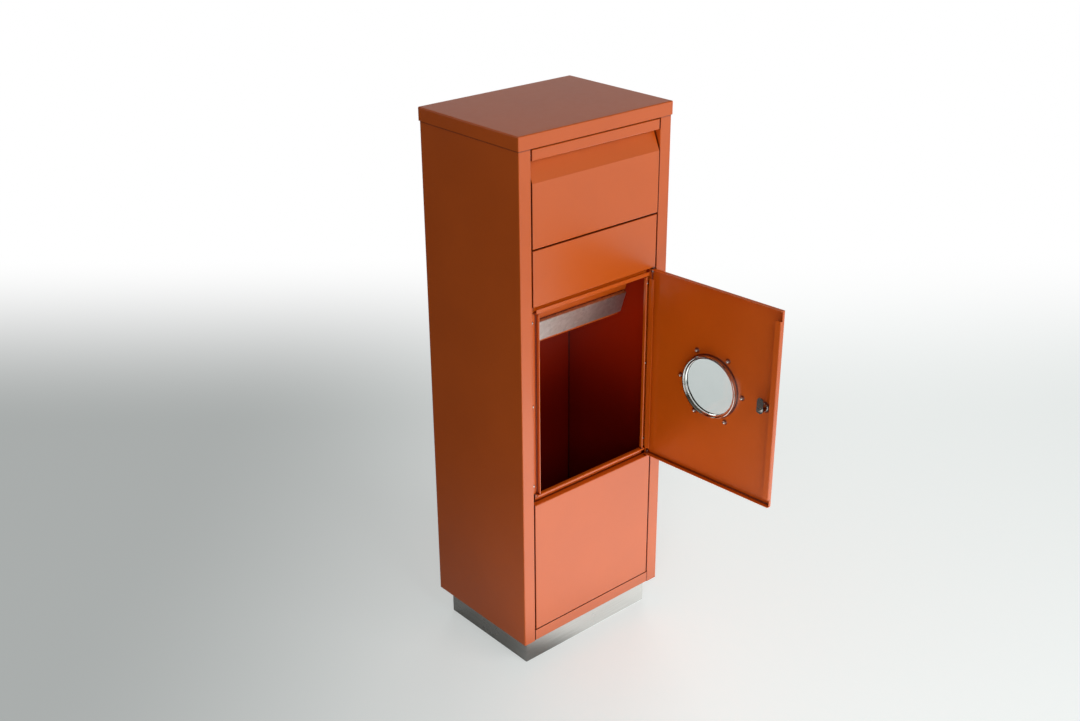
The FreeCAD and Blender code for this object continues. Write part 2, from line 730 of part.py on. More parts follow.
def make_lock_nut():
    """Thin hexagon nut that clamps the barrel to the door."""
    nut = hex_prism(LOCK_NUT_FLATS, LOCK_NUT_H, lock_axis(SHEET), V(0, 1, 0))
    return nut.cut(rod(LOCK_BARREL_R + RUN_CLEAR, LOCK_NUT_H, lock_axis(SHEET), V(0, 1, 0)))


def make_lock_plug():
    """Turning core: keyway in front, square and thread behind for the cam."""
    plug = turned([
        (0, -LOCK_FLANGE_T), (PLUG_HEAD_R, -LOCK_FLANGE_T), (PLUG_HEAD_R, -FACE_CLEAR), (PLUG_R, -FACE_CLEAR),
        (PLUG_R, cam_depth), (0, cam_depth),
    ], lock_axis(0), V(0, 1, 0))
    half = CAM_SQUARE / 2
    square = block(lock_x - half, lock_x + half, front_y + cam_depth, front_y + cam_depth + CAM_T,
                   door_mid_z - half, door_mid_z + half)
    thread = rod(CAM_THREAD_R, CAM_T + CAM_NUT_H + SHEET, lock_axis(cam_depth), V(0, 1, 0))
    plug = plug.fuse([square, thread])
    keyway_y = front_y - LOCK_FLANGE_T
    keyway = block(lock_x - KEYWAY_W / 2, lock_x + KEYWAY_W / 2, keyway_y, keyway_y + KEYWAY_D,
                   door_mid_z - KEYWAY_H / 2, door_mid_z + KEYWAY_H / 2)
    return plug.cut(keyway)


def make_lock_cam():
    """Flat tongue, upright while the door is unlocked."""
    half = CAM_W / 2
    tongue_top = CAM_REACH - half
    top = Part.Arc(V(half, tongue_top, 0), V(0, CAM_REACH, 0), V(-half, tongue_top, 0)).toShape()
    foot = Part.Arc(V(-half, 0, 0), V(0, -half, 0), V(half, 0, 0)).toShape()
    sides = [
        Part.LineSegment(V(-half, tongue_top, 0), V(-half, 0, 0)).toShape(),
        Part.LineSegment(V(half, 0, 0), V(half, tongue_top, 0)).toShape(),
    ]
    face = Part.Face(Part.Wire(Part.__sortEdges__([top, foot] + sides)))
    cam = face.extrude(V(0, 0, CAM_T))
    cam.Placement = FreeCAD.Placement(lock_axis(cam_depth + CAM_T), FreeCAD.Rotation(V(1, 0, 0), 90))
    square = CAM_SQUARE / 2 + RUN_CLEAR
    return cam.cut(block(lock_x - square, lock_x + square, front_y + cam_depth, front_y + cam_depth + CAM_T,
                         door_mid_z - square, door_mid_z + square))


def make_cam_nut():
    """Nut that holds the cam on the plug."""
    nut = hex_prism(CAM_NUT_FLATS, CAM_NUT_H, lock_axis(cam_depth + CAM_T), V(0, 1, 0))
    return nut.cut(rod(CAM_THREAD_R + RUN_CLEAR, CAM_NUT_H, lock_axis(cam_depth + CAM_T), V(0, 1, 0)))


def tilted(y, z):
    """Where a point of the closed hopper comes to when the flap is fully open."""
    angle = math.radians(TILT_DEG)
    dy = y - tilt_y
    dz = z - tilt_z
    return (
        tilt_y + dy * math.cos(angle) - dz * math.sin(angle),
        tilt_z + dy * math.sin(angle) + dz * math.cos(angle),
    )


# Slant of the grip and of the hopper's floor, as (y, z), and the floor's length
grip_top = (front_y + GRIP_RISE * math.tan(math.radians(GRIP_DEG)), fold_z + GRIP_RISE)
floor_run = (math.sin(math.radians(FLOOR_DEG)), -math.cos(math.radians(FLOOR_DEG)))
floor_out = (floor_run[1], -floor_run[0])
floor_lap_z = flap_z + 2 * SHEET
floor_bend = (front_y + FLAP_T + FLOOR_SETBACK, floor_lap_z)
floor_x = mouth_x - FLOOR_SIDE_CLEAR
open_slope = math.radians(90 - FLOOR_DEG - TILT_DEG)
floor_l = (back_y - SHEET - FLOOR_REAR_GAP - tilted(*floor_bend)[0]) / math.cos(open_slope)


def on_floor(distance, outwards):
    """Point (y, z) down the hopper's floor from its bend, and outwards from its upper skin."""
    return tuple(b + r * distance + o * outwards for b, r, o in zip(floor_bend, floor_run, floor_out))


def make_hopper_flap():
    """Flap folded from one sheet: foot, face and slanted grip, with a cheek at each end."""
    back = front_y + FLAP_T
    path = [(back, flap_z), (front_y, flap_z), (front_y, fold_z), grip_top]
    flap = along_x(sheet_section(path, -1), -panel_x, panel_x)
    corner = BEND_OUT
    cheek = outline([
        (front_y + SHEET, flap_z + corner), (front_y + corner, flap_z + SHEET), (back, flap_z + SHEET),
        (back, grip_top[1] - SHEET), (grip_top[0], grip_top[1] - SHEET), (front_y + SHEET, fold_z),
    ])
    cheeks = along_x(cheek, panel_x - SHEET, panel_x)
    flap = flap.fuse([cheeks, mirrored(cheeks)])
    flap = drill_both(flap, TILT_PIN_R + RUN_CLEAR, panel_x - SHEET, panel_x, [(tilt_y, tilt_z)])
    for x in hopper_rivet_xs():
        flap = flap.cut(rod(RIVET_R + HOLE_CLEAR, SHEET, V(x, hopper_rivet_y, flap_z), V(0, 0, 1)))
    return flap


hopper_rivet_y = front_y + (FLOOR_LAP_START + FLAP_T) / 2


def hopper_rivet_xs():
    """Places of the rivets along the flap's foot."""
    return [HOPPER_RIVET_PITCH * (i - (HOPPER_RIVETS - 1) / 2) for i in range(HOPPER_RIVETS)]


def make_hopper_floor():
    """Plate lapped on the flap's foot, hanging down and back into the body."""
    path = [(front_y + FLOOR_LAP_START, floor_lap_z), floor_bend, on_floor(floor_l, 0)]
    plate = along_x(sheet_section(path, -1), -floor_x, floor_x)
    for x in hopper_rivet_xs():
        plate = plate.cut(rod(RIVET_R + HOLE_CLEAR, 2 * SHEET, V(x, hopper_rivet_y, flap_z), V(0, 0, 1)))
    for x in weight_screw_xs():
        plate = plate.cut(floor_rod(WEIGHT_SCREW_R + HOLE_CLEAR, x, 0, SHEET))
    return plate


def make_hopper_rivets():
    """Rivets that join the floor plate to the flap's foot."""
    seats = [V(x, hopper_rivet_y, floor_lap_z) for x in hopper_rivet_xs()]
    return Part.makeCompound([turned(lap_rivet_profile, seat, V(0, 0, -1)) for seat in seats])


weight_end = floor_l - WEIGHT_END
weight_start = weight_end - WEIGHT_W


def weight_screw_xs():
    """Places of the counterweight's screws across the plate."""
    return [-WEIGHT_SCREW_PITCH, 0, WEIGHT_SCREW_PITCH]


def floor_rod(radius, x, start, end):
    """Cylinder square to the hopper's floor, between two distances out from its upper skin."""
    y, z = on_floor((weight_start + weight_end) / 2, start)
    return rod(radius, end - start, V(x, y, z), V(0, floor_out[0], floor_out[1]))


def make_counterweight():
    """Flat bar under the free end of the plate."""
    top = SHEET
    low = SHEET + WEIGHT_T
    edge = WEIGHT_EDGE
    section = outline([
        on_floor(weight_start, top), on_floor(weight_end, top), on_floor(weight_end, low - edge),
        on_floor(weight_end - edge, low), on_floor(weight_start + edge, low),
        on_floor(weight_start, low - edge),
    ])
    bar_x = floor_x - WEIGHT_SIDE
    bar = along_x(section, -bar_x, bar_x)
    for x in weight_screw_xs():
        bar = bar.cut(floor_rod(WEIGHT_SCREW_R + RUN_CLEAR, x, SHEET, SHEET + WEIGHT_SCREW_L))
    return bar


def make_counterweight_screws():
    """Screws from the plate's upper side into the bar."""
    screws = []
    for x in weight_screw_xs():
        head = floor_rod(WEIGHT_SCREW_HEAD_R, x, -WEIGHT_SCREW_HEAD_H, 0)
        screws.append(head.fuse(floor_rod(WEIGHT_SCREW_R, x, 0, SHEET + WEIGHT_SCREW_L)))
    return Part.makeCompound(screws)


def make_hopper_pivot():
    """Right shoulder pin of the flap: head behind the strip's return, collar in the gap."""
    collar = PANEL_GAP - FACE_CLEAR
    reach = PANEL_GAP + SHEET + TILT_PIN_REACH
    profile = [
        (0, -SHEET - TILT_PIN_HEAD_H), (TILT_PIN_HEAD_R, -SHEET - TILT_PIN_HEAD_H), (TILT_PIN_HEAD_R, -SHEET),
        (TILT_PIN_R, -SHEET), (TILT_PIN_R, 0), (TILT_PIN_COLLAR_R, 0), (TILT_PIN_COLLAR_R, collar),
        (TILT_PIN_R, collar), (TILT_PIN_R, reach), (0, reach),
    ]
    return turned(profile, V(mouth_x, tilt_y, tilt_z), V(-1, 0, 0))


stop_z = fold_z - STOP_BELOW_FOLD


def make_flap_stop():
    """Right angle clip behind the strip's return, with a tab behind the flap's cheek."""
    leg_x = mouth_x + SHEET
    path = [(leg_x, stop_leg_y), (leg_x, stop_y), (leg_x - STOP_REACH, stop_y)]
    return along_z(sheet_section(path, -1), stop_z - STOP_H / 2, stop_z + STOP_H / 2)


def make_flap_buffers():
    """Rubber buffers on the clips, where the flap's cheeks come to rest."""
    length = STOP_D - FLAP_T - FACE_CLEAR
    buffer_x = mouth_x - PANEL_GAP / 2 - BUFFER_R
    buffer = rod(BUFFER_R, length, V(buffer_x, stop_y, stop_z), V(0, -1, 0))
    return Part.makeCompound([buffer, mirrored(buffer)])


# The open plate's end, and the shelf that it comes up against
open_end_y, open_end_z = tilted(*on_floor(floor_l, 0))
stop_pad_y = open_end_y - STOP_PAD_FROM_EDGE
pad_z = open_end_z + (open_end_y - stop_pad_y + STOP_PAD_R) * math.tan(open_slope) + FACE_CLEAR
shelf_z = pad_z + STOP_PAD_T


def make_tilt_stop_rail():
    """Angle across the back wall, whose shelf limits how far the plate swings up."""
    wall_y = back_y - SHEET
    path = [(wall_y, shelf_z + STOP_RAIL_LEG), (wall_y, shelf_z), (stop_pad_y - STOP_PAD_R, shelf_z)]
    return along_x(sheet_section(path, -1), -STOP_RAIL_L / 2, STOP_RAIL_L / 2)


def make_tilt_stop_pads():
    """Rubber pads under the rail's shelf."""
    pads = [
        rod(STOP_PAD_R, STOP_PAD_T, V(side * STOP_PAD_PITCH / 2, stop_pad_y, shelf_z), V(0, 0, -1))
        for side in (-1, 1)
    ]
    return Part.makeCompound(pads)


def swung_open(shape):
    """A piece of the closed door, turned about the hinge pins to where the door stands open."""
    return shape.rotated(V(pivot_x, pivot_y, 0), V(0, 0, 1), DOOR_OPEN_DEG)


jamb_right = make_frame_jamb()
stop_right = make_flap_stop()
pivot_right = make_hopper_pivot()

cabinet_parts = {
    "plinth": make_plinth(),
    "plinth_bolts": make_plinth_bolts(),
    "plinth_nuts": make_plinth_nuts(),
    "floor_pan": make_floor_pan(),
    "body_shell": make_body_shell(),
    "top_cap": make_top_cap(),
    "cap_nuts": make_cap_nuts(),
    "header_fascia": make_header_fascia(),
    "mid_fascia": make_mid_fascia(),
    "lower_panel": make_lower_panel(),
    "panel_rivets": make_panel_rivets(),
    "frame_jamb_left": mirrored(jamb_right),
    "frame_jamb_right": jamb_right,
    "frame_head": make_frame_head(),
    "frame_sill": make_frame_sill(),
    "jamb_rivets": make_jamb_rivets(),
    "hopper_pivot_left": mirrored(pivot_right),
    "hopper_pivot_right": pivot_right,
    "flap_stop_left": mirrored(stop_right),
    "flap_stop_right": stop_right,
    "flap_buffers": make_flap_buffers(),
    "tilt_stop_rail": make_tilt_stop_rail(),
    "tilt_stop_pads": make_tilt_stop_pads(),
    "door_pin_top": make_door_pin(fascia_z, -1),
    "door_pin_bottom": make_door_pin(ledge_z, 1),
}

hopper_parts = {
    "hopper_flap": make_hopper_flap(),
    "hopper_floor": make_hopper_floor(),
    "hopper_rivets": make_hopper_rivets(),
    "counterweight": make_counterweight(),
    "counterweight_screws": make_counterweight_screws(),
}

door_parts = {
    "door_panel": make_door_panel(),
    "door_washer_top": make_door_washer(door_top_z, 1),
    "door_washer_bottom": make_door_washer(door_z, -1),
    "porthole_bezel": make_porthole_bezel(),
    "porthole_gasket": make_porthole_gasket(),
    "porthole_glass": make_porthole_glass(),
    "porthole_clamp_ring": make_porthole_clamp_ring(),
    "porthole_cap_nuts": make_porthole_cap_nuts(),
    "lock_barrel": make_lock_barrel(),
    "lock_nut": make_lock_nut(),
}

lock_parts = {
    "lock_plug": make_lock_plug(),
    "lock_cam": make_lock_cam(),
    "cam_nut": make_cam_nut(),
}

os.makedirs("parts", exist_ok=True)
for name, shape in {**cabinet_parts, **hopper_parts}.items():
    shape.exportStep("parts/" + name + ".step")
for name, shape in {**door_parts, **lock_parts}.items():
    swung_open(shape).exportStep("parts/" + name + ".step")
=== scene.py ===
import math

import bpy
from mathutils import Matrix, Vector

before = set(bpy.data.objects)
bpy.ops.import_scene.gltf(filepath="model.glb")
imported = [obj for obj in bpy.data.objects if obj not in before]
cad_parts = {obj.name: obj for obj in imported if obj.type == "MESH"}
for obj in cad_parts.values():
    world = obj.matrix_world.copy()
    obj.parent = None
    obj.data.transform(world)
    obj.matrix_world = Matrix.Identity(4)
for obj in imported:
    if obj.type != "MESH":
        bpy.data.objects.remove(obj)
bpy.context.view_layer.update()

# Camera, in metres and degrees, for an image of 1080 x 721
CAMERA_AT = Vector((-1.7457, -1.9882, 1.8559))
CAMERA_AZIMUTH = -40.937
CAMERA_ELEVATION = 24.753
CAMERA_ROLL = -0.412
SENSOR_W = 36.0
LENS = 44.78

# Object coordinates as they are, for patterns that run alike along each axis
EVEN = (1, 1, 1)

# Orange powder coat
PAINT_DEEP = (0.57, 0.092, 0.0025)
PAINT_LIGHT = (0.61, 0.101, 0.0035)
PAINT_STOPS = [(0.35, PAINT_DEEP), (0.65, PAINT_LIGHT)]
PAINT_CLOUD = 5.0
PAINT_GRAIN = 900.0
PAINT_SHEEN = 60.0
PAINT_ROUGH = (0.26, 0.33)
PAINT_BUMP = 0.00002
PAINT_BUMP_STRENGTH = 0.6
PAINT_SPECULAR = 1.0

# Painted shade in the creases and gaps: the paint darkened by the share of open space within reach
CREASE_SHADE_REACH = 0.004
CREASE_SHADE_SAMPLES = 8
CREASE_SHADE_STOPS = [(0.80, (0.25, 0.12, 0.12)), (0.97, (1.0, 1.0, 1.0))]

# Painted shade inside the compartment, between two corners, darker towards the bottom: heights over which
# it changes, and heights near the top over which it fades out
PAINTED_SHADE_FROM = (-0.2012, -0.131, 0.067)
PAINTED_SHADE_TO = (0.2012, 0.1517, 0.97)
INSIDE_PAINTED_SHADE_STOPS = [(0.0, (0.17, 0.004, 0.0008)), (1.0, (0.54, 0.024, 0.001))]
INSIDE_PAINTED_SHADE_HEIGHTS = (0.38, 0.74)
INSIDE_PAINTED_SHADE_FADE = (0.83, 0.95)

# Brushed stainless steel
SCRATCH_STRETCH = (7, 7, 1500)
SMUDGE = 14.0
STAINLESS_STOPS = [(0.3, (0.50, 0.49, 0.47)), (0.7, (0.66, 0.65, 0.63))]
STAINLESS_ROUGH = (0.16, 0.34)
SCRATCH_BUMP = 0.00002
SCRATCH_BUMP_STRENGTH = 0.5

# Polished stainless steel
POLISHED_HAZE = 40.0
POLISHED_STOPS = [(0.3, (0.66, 0.65, 0.63)), (0.7, (0.76, 0.75, 0.73))]
POLISHED_ROUGH = (0.06, 0.14)

# Hot-dip zinc
SPANGLE = 140.0
SPANGLE_LIFT = 0.2
GALVANISED_HAZE = 60.0
GALVANISED_STOPS = [(0.15, (0.75, 0.74, 0.71)), (0.75, (0.88, 0.87, 0.84))]
GALVANISED_ROUGH = (0.38, 0.5)
GALVANISED_BUMP = 0.00002
GALVANISED_BUMP_STRENGTH = 0.3

# Bright zinc plate
ZINC_HAZE = 220.0
ZINC_STOPS = [(0.3, (0.52, 0.52, 0.51)), (0.7, (0.72, 0.72, 0.70))]
ZINC_ROUGH = (0.10, 0.28)

# Black rubber
RUBBER_HAZE = 350.0
RUBBER_STOPS = [(0.3, (0.012, 0.012, 0.012)), (0.8, (0.035, 0.034, 0.033))]
RUBBER_ROUGH = (0.6, 0.85)
RUBBER_BUMP = 0.0001
RUBBER_BUMP_STRENGTH = 0.4

# Black bearing plastic
PLASTIC_HAZE = 500.0
PLASTIC_STOPS = [(0.3, (0.020, 0.020, 0.021)), (0.8, (0.050, 0.050, 0.052))]
PLASTIC_ROUGH = (0.35, 0.5)

# Clear glass
GLASS_HAZE = 30.0
GLASS_STOPS = [(0.2, (0.70, 0.745, 0.74)), (0.9, (0.74, 0.78, 0.775))]
GLASS_ROUGH = (0.0, 0.02)
GLASS_IOR = 1.5

# Floor, in metres: its tints with a painted shade, from the grey shaded side to the pale lit side, and
# where it fades to white
FLOOR_HALF = 14.0
FLOOR_TINT_AND_SHADE_STOPS = [(0.0, (0.095, 0.108, 0.105)), (1.0, (0.68, 0.71, 0.70))]
FLOOR_WHITE = (0.80, 0.83, 0.82)
FLOOR_GLOW = (0.45, 0.56)
BRIGHT_SIDE = (0.7071, -0.7071, 0.0)
BACKGROUND_SIDE = (0.654, 0.756, 0.0)
GREY_TO_PALE = (-1.1, 0.45)
FADE_BEHIND = (0.9, 2.4)
FADE_ROUND = (3.0, 6.0)

# Painted glow of the floor that only reflections show, on the pale side: its brightness by distance as a
# share of the reach
FLOOR_SHINE = 1.2
MIRROR_FROM = (0.0, 0.12)
SHINE_REACH = 2.0
SHINE_STOPS = [
    (0.07, (0.75, 0.75, 0.75)),
    (0.18, (1.0, 1.0, 1.0)),
    (0.6, (0.95, 0.95, 0.95)),
    (1.0, (0.28, 0.28, 0.28)),
]

# Surroundings: their light, and their brightness in reflections by height
SKY_LIGHT = 0.22
SKY_WHITE = (1.0, 1.0, 1.0)
SKY_STOPS = [
    (0.0, (0.95, 0.95, 0.95)),
    (0.12, (0.80, 0.80, 0.80)),
    (0.36, (0.06, 0.048, 0.032)),
    (1.0, (0.28, 0.27, 0.25)),
]

# Soft lamps: place, target, width and height in metres, and power in watts
SOFTBOXES = {
    "window": ((0.2, -3.0, 2.5), (0.0, 0.0, 0.8), (2.6, 1.6), 44),
    "left_fill": ((-2.4, -2.6, 1.9), (0.0, 0.0, 0.7), (1.6, 1.4), 27),
    "bounce": ((0.45, -1.3, 0.02), (0.45, -1.3, 1.0), (2.1, 2.1), 23),
    "rear_fill": ((2.8, 2.6, 1.4), (0.0, 0.0, 0.6), (2.0, 1.6), 36),
}

# CAD nodes that take each finish
NODES_BY_FINISH = {
    # The shell's paint carries a painted shade inside the compartment
    "hollow_paint_painted_shade": ["floor_pan", "body_shell"],
    "orange_paint": [
        "top_cap", "header_fascia", "mid_fascia", "lower_panel",
        "frame_jamb_left", "frame_jamb_right", "frame_head", "frame_sill",
        "flap_stop_left", "flap_stop_right", "tilt_stop_rail",
        "hopper_flap", "hopper_floor", "door_panel",
    ],
    "stainless": ["plinth"],
    "polished": ["porthole_bezel", "porthole_clamp_ring", "porthole_cap_nuts"],
    "galvanised": ["counterweight"],
    "bright_zinc": [
        "plinth_bolts", "plinth_nuts", "cap_nuts", "hopper_pivot_left", "hopper_pivot_right",
        "door_pin_top", "door_pin_bottom",
        "counterweight_screws", "panel_rivets", "jamb_rivets", "hopper_rivets",
        "lock_barrel", "lock_nut", "lock_plug", "lock_cam", "cam_nut",
    ],
    "buffer_rubber": ["flap_buffers", "tilt_stop_pads", "porthole_gasket"],
    "washer_plastic": ["door_washer_top", "door_washer_bottom"],
    "clear_glass": ["porthole_glass"],
}


class Shader:
    """A material's or the world's node tree, with short calls to add and join nodes."""

    def __init__(self, owner):
        owner.use_nodes = True
        self.tree = owner.node_tree
        self.tree.nodes.clear()

    def add(self, kind, inputs=None, **settings):
        """New node of a kind, with settings on the node and values or links on its inputs."""
        node = self.tree.nodes.new(kind)
        for name, value in settings.items():
            setattr(node, name, value)
        for name, value in (inputs or {}).items():
            if isinstance(value, bpy.types.NodeSocket):
                self.tree.links.new(value, node.inputs[name])
            else:
                node.inputs[name].default_value = value
        return node

    def object_coordinates(self, scale):
        """Object coordinates stretched by a scale for each axis."""
        place = self.add("ShaderNodeTexCoord")
        return self.add("ShaderNodeMapping", {"Vector": place.outputs["Object"], "Scale": scale}).outputs[0]

    def noise(self, vector, scale, detail=3.0, rough=0.55):
        """Value of a noise texture."""
        inputs = {"Vector": vector, "Scale": scale, "Detail": detail, "Roughness": rough}
        return self.add("ShaderNodeTexNoise", inputs).outputs[0]

    def ramp(self, value, stops):
        """Colour ramp through (position, colour) stops."""
        node = self.add("ShaderNodeValToRGB", {"Fac": value})
        elements = node.color_ramp.elements
        while len(elements) < len(stops):
            elements.new(1.0)
        for element, (position, colour) in zip(elements, stops):
            element.position = position
            element.color = (*colour, 1.0)
        return node.outputs[0]

    def mix(self, first, second, factor, blend="MIX"):
        """Mix of two colours."""
        inputs = {"Factor": factor, "A": first, "B": second}
        return self.add("ShaderNodeMix", inputs, data_type="RGBA", blend_type=blend).outputs["Result"]

    def spread(self, value, low, high):
        """Maps 0..1 onto a range of numbers."""
        inputs = {"Value": value, "To Min": low, "To Max": high}
        return self.add("ShaderNodeMapRange", inputs).outputs[0]

    def smooth(self, value, low, high):
        """Zero below one value and one above another, with a smooth step between."""
        inputs = {"Value": value, "From Min": low, "From Max": high}
        return self.add("ShaderNodeMapRange", inputs, interpolation_type="SMOOTHSTEP").outputs[0]

    def math(self, operation, first, second):
        """Result of an operation on two values."""
        return self.add("ShaderNodeMath", {0: first, 1: second}, operation=operation).outputs[0]

    def along(self, vector, direction):
        """Distance along a direction."""
        node = self.add("ShaderNodeVectorMath", {0: vector, 1: direction}, operation="DOT_PRODUCT")
        return node.outputs["Value"]

    def join(self, kind, first, second):
        """Adds or mixes two shaders."""
        node = self.tree.nodes.new(kind)
        shader_inputs = [socket for socket in node.inputs if socket.type == "SHADER"]
        for source, socket in zip((first, second), shader_inputs):
            self.tree.links.new(source.outputs[0], socket)
        return node

    def bump(self, height, distance, strength):
        """Normal from a height."""
        inputs = {"Height": height, "Distance": distance, "Strength": strength}
        return self.add("ShaderNodeBump", inputs).outputs[0]

    def surface(self, inputs):
        """Principled surface joined to the output."""
        shader = self.add("ShaderNodeBsdfPrincipled", inputs)
        self.add("ShaderNodeOutputMaterial", {"Surface": shader.outputs[0]})


def make_paint(name, shade_inside=False):
    """Satin powder coat: faint clouds, a fine orange-peel grain, painted shade in creases and gaps and, on
    the shell, painted shade inside the compartment that is darker towards the bottom.
    """
    material = bpy.data.materials.new(name)
    s = Shader(material)
    even = s.object_coordinates(EVEN)
    cloud = s.noise(even, PAINT_CLOUD, 4.0)
    grain = s.noise(even, PAINT_GRAIN, 2.0)
    colour = s.ramp(cloud, PAINT_STOPS)
    if shade_inside:
        # Painted shade: inside the compartment the paint turns dark red, darker towards the bottom, and
        # fades out near the top
        place = s.add("ShaderNodeSeparateXYZ", {"Vector": even})
        height = place.outputs["Z"]
        inside = s.math("SUBTRACT", 1.0, s.smooth(height, *INSIDE_PAINTED_SHADE_FADE))
        for axis, low, high in zip("XYZ", PAINTED_SHADE_FROM, PAINTED_SHADE_TO):
            inside = s.math("MULTIPLY", inside, s.math("GREATER_THAN", place.outputs[axis], low))
            inside = s.math("MULTIPLY", inside, s.math("LESS_THAN", place.outputs[axis], high))
        colour = s.mix(colour, s.ramp(s.smooth(height, *INSIDE_PAINTED_SHADE_HEIGHTS), INSIDE_PAINTED_SHADE_STOPS), inside)
    # Painted shade: the colour is darkened where little open space lies within reach, in creases and gaps
    open_share = s.add("ShaderNodeAmbientOcclusion", {"Distance": CREASE_SHADE_REACH}, samples=CREASE_SHADE_SAMPLES)
    crease_shade = s.ramp(open_share.outputs["AO"], CREASE_SHADE_STOPS)
    s.surface({
        "Base Color": s.mix(colour, crease_shade, 1.0, "MULTIPLY"),
        "Roughness": s.spread(s.noise(even, PAINT_SHEEN), *PAINT_ROUGH),
        "Specular IOR Level": PAINT_SPECULAR,
        "Normal": s.bump(grain, PAINT_BUMP, PAINT_BUMP_STRENGTH),
    })
    return material


def make_stainless():
    """Brushed stainless steel, its scratches level."""
    material = bpy.data.materials.new("brushed_stainless")
    s = Shader(material)
    scratch = s.noise(s.object_coordinates(SCRATCH_STRETCH), 1.0)
    smudge = s.noise(s.object_coordinates(EVEN), SMUDGE)
    s.surface({
        "Base Color": s.ramp(scratch, STAINLESS_STOPS),
        "Metallic": 1.0,
        "Roughness": s.spread(smudge, *STAINLESS_ROUGH),
        "Normal": s.bump(scratch, SCRATCH_BUMP, SCRATCH_BUMP_STRENGTH),
    })
    return material


def make_polished():
    """Polished stainless steel with a little haze."""
    material = bpy.data.materials.new("polished_stainless")
    s = Shader(material)
    haze = s.noise(s.object_coordinates(EVEN), POLISHED_HAZE, 4.0)
    s.surface({
        "Base Color": s.ramp(haze, POLISHED_STOPS),
        "Metallic": 1.0,
        "Roughness": s.spread(haze, *POLISHED_ROUGH),
    })
    return material


def make_galvanised():
    """Hot-dip zinc with its spangle."""
    material = bpy.data.materials.new("galvanised_steel")
    s = Shader(material)
    even = s.object_coordinates(EVEN)
    flake = s.add("ShaderNodeTexVoronoi", {"Vector": even, "Scale": SPANGLE})
    tone = s.add("ShaderNodeSeparateColor", {"Color": flake.outputs["Color"]}).outputs[0]
    haze = s.noise(even, GALVANISED_HAZE, 5.0)
    spangle = s.math("ADD", s.math("MULTIPLY", tone, haze), SPANGLE_LIFT)
    s.surface({
        "Base Color": s.ramp(spangle, GALVANISED_STOPS),
        "Metallic": 1.0,
        "Roughness": s.spread(haze, *GALVANISED_ROUGH),
        "Normal": s.bump(haze, GALVANISED_BUMP, GALVANISED_BUMP_STRENGTH),
    })
    return material


def make_zinc():
    """Bright zinc plate on small fasteners and the lock."""
    material = bpy.data.materials.new("bright_zinc")
    s = Shader(material)
    haze = s.noise(s.object_coordinates(EVEN), ZINC_HAZE, 4.0)
    s.surface({
        "Base Color": s.ramp(haze, ZINC_STOPS),
        "Metallic": 1.0,
        "Roughness": s.spread(haze, *ZINC_ROUGH),
    })
    return material


def make_rubber():
    """Matt black rubber with a dusty bloom."""
    material = bpy.data.materials.new("buffer_rubber")
    s = Shader(material)
    haze = s.noise(s.object_coordinates(EVEN), RUBBER_HAZE, 4.0)
    s.surface({
        "Base Color": s.ramp(haze, RUBBER_STOPS),
        "Roughness": s.spread(haze, *RUBBER_ROUGH),
        "Normal": s.bump(haze, RUBBER_BUMP, RUBBER_BUMP_STRENGTH),
    })
    return material


def make_plastic():
    """Black bearing plastic."""
    material = bpy.data.materials.new("washer_plastic")
    s = Shader(material)
    haze = s.noise(s.object_coordinates(EVEN), PLASTIC_HAZE)
    s.surface({
        "Base Color": s.ramp(haze, PLASTIC_STOPS),
        "Roughness": s.spread(haze, *PLASTIC_ROUGH),
    })
    return material


def make_glass():
    """Clear glass with a trace of haze."""
    material = bpy.data.materials.new("clear_glass")
    s = Shader(material)
    haze = s.noise(s.object_coordinates(EVEN), GLASS_HAZE, 4.0)
    s.surface({
        "Base Color": s.ramp(haze, GLASS_STOPS),
        "Roughness": s.spread(haze, *GLASS_ROUGH),
        "IOR": GLASS_IOR,
        "Transmission Weight": 1.0,
    })
    return material


def finish_nodes():
    """Gives each CAD node its finish."""
    materials = {
        "orange_paint": make_paint("orange_powder_coat"),
        "hollow_paint_painted_shade": make_paint("orange_powder_coat_shell_painted_shade", shade_inside=True),
        "stainless": make_stainless(),
        "polished": make_polished(),
        "galvanised": make_galvanised(),
        "bright_zinc": make_zinc(),
        "buffer_rubber": make_rubber(),
        "washer_plastic": make_plastic(),
        "clear_glass": make_glass(),
    }
    for finish, node_names in NODES_BY_FINISH.items():
        for node_name in node_names:
            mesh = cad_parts[node_name].data
            mesh.materials.clear()
            mesh.materials.append(materials[finish])


